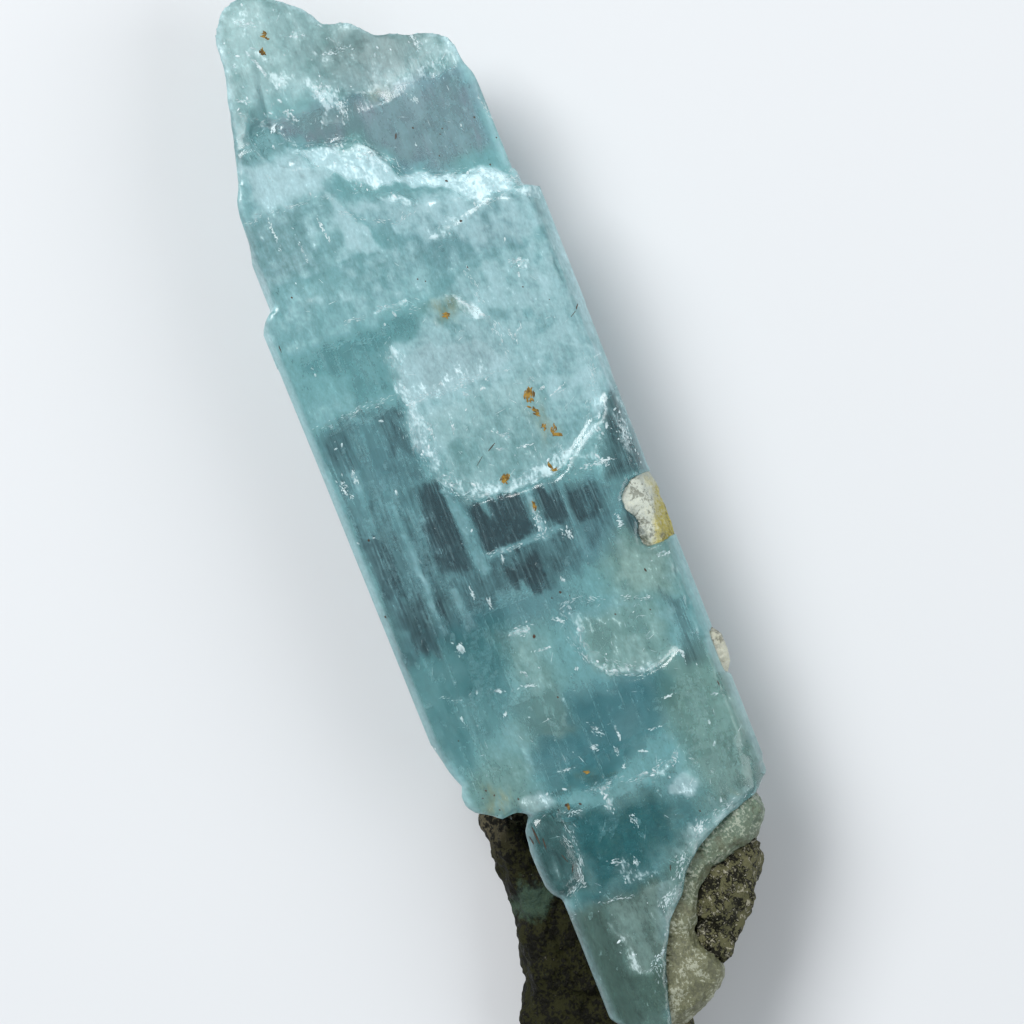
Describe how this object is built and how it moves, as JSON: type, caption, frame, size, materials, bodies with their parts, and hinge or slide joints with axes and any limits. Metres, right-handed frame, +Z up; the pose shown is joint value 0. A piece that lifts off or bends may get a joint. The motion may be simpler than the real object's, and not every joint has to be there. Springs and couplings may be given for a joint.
{
  "type": "aquamarine crystal",
  "caption": "Flattened hexagonal prism of pale blue beryl with a broken tip, lying on its back face, its foot held by dark mica rock and a cream feldspar seam.",
  "frame": {"origin": "centre of the footprint of the lying specimen, at the level that it rests on", "axes": "+X along the prism towards its broken tip, +Y towards the left side of the broad front face, +Z up, out of the front face"},
  "size_m": [0.083, 0.0234, 0.011],
  "materials": {
    "beryl": "clear to cloudy pale aqua beryl, glassy, with frosty broken patches, dark windows and iron stains",
    "mica_rock": "rough dark green-brown mica rock speckled with grey-buff feldspar",
    "seam_feldspar": "cream to tan feldspar, waxy and a little translucent",
    "grain_feldspar": "white feldspar with a yellow iron stain",
    "chip_feldspar": "off-white feldspar"
  },
  "bodies": {
    "root": {"aquamarine_crystal": "beryl", "host_rock": "mica_rock", "feldspar_seam": "seam_feldspar", "side_feldspar_grain": "grain_feldspar", "edge_feldspar_chip": "chip_feldspar"}
  },
  "joints": []
}
